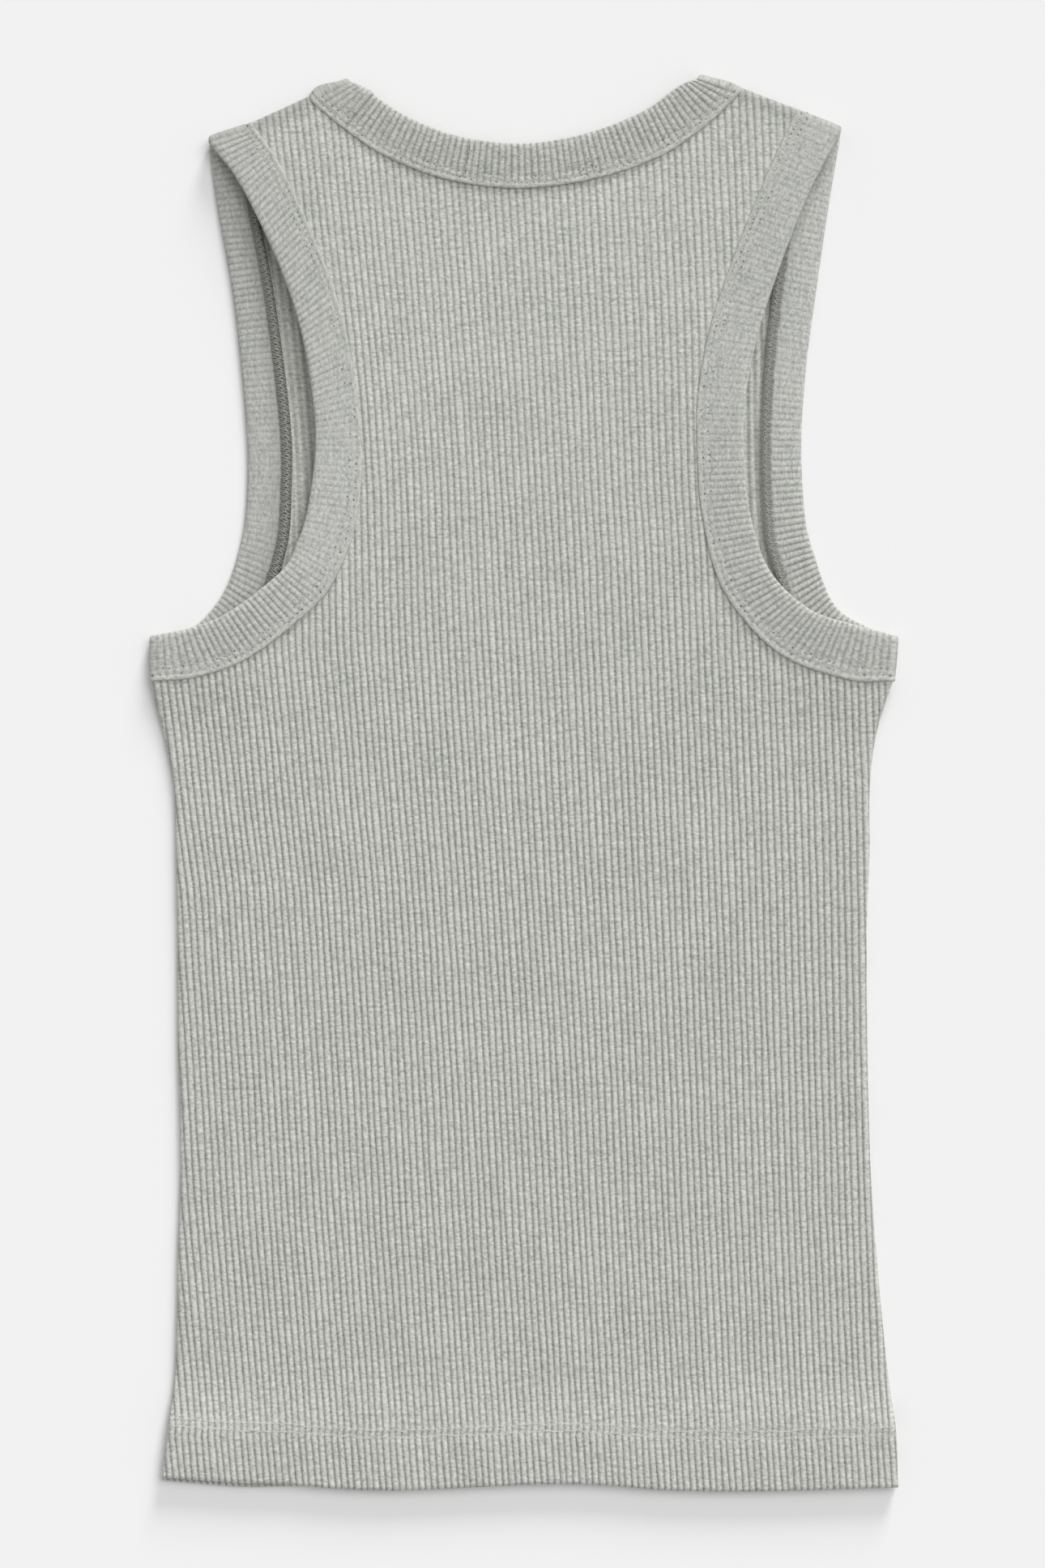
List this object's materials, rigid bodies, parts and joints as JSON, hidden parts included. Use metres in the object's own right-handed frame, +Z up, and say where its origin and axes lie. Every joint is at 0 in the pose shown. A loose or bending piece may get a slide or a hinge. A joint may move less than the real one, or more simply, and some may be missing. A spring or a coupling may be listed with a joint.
{
  "type": "ribbed tank top",
  "caption": "Sleeveless ribbed tank top laid flat with its back up: racer-shaped back, lower front neck, doubled bands round the neck and armholes, turned-up hem.",
  "frame": {"origin": "on the surface that the top lies on, in the middle of its outline", "axes": "+Y from the hem to the neck, +Z up out of the back, +X to the right as seen from above"},
  "size_m": [0.3192, 0.6016, 0.0064],
  "materials": {
    "panel_rib_knit": "matte grey melange cotton rib",
    "band_rib_knit": "matte grey melange cotton rib"
  },
  "bodies": {
    "root": {"front_panel": "panel_rib_knit", "back_panel": "panel_rib_knit", "neck_band": "band_rib_knit", "left_armhole_band": "band_rib_knit", "right_armhole_band": "band_rib_knit"}
  },
  "joints": []
}
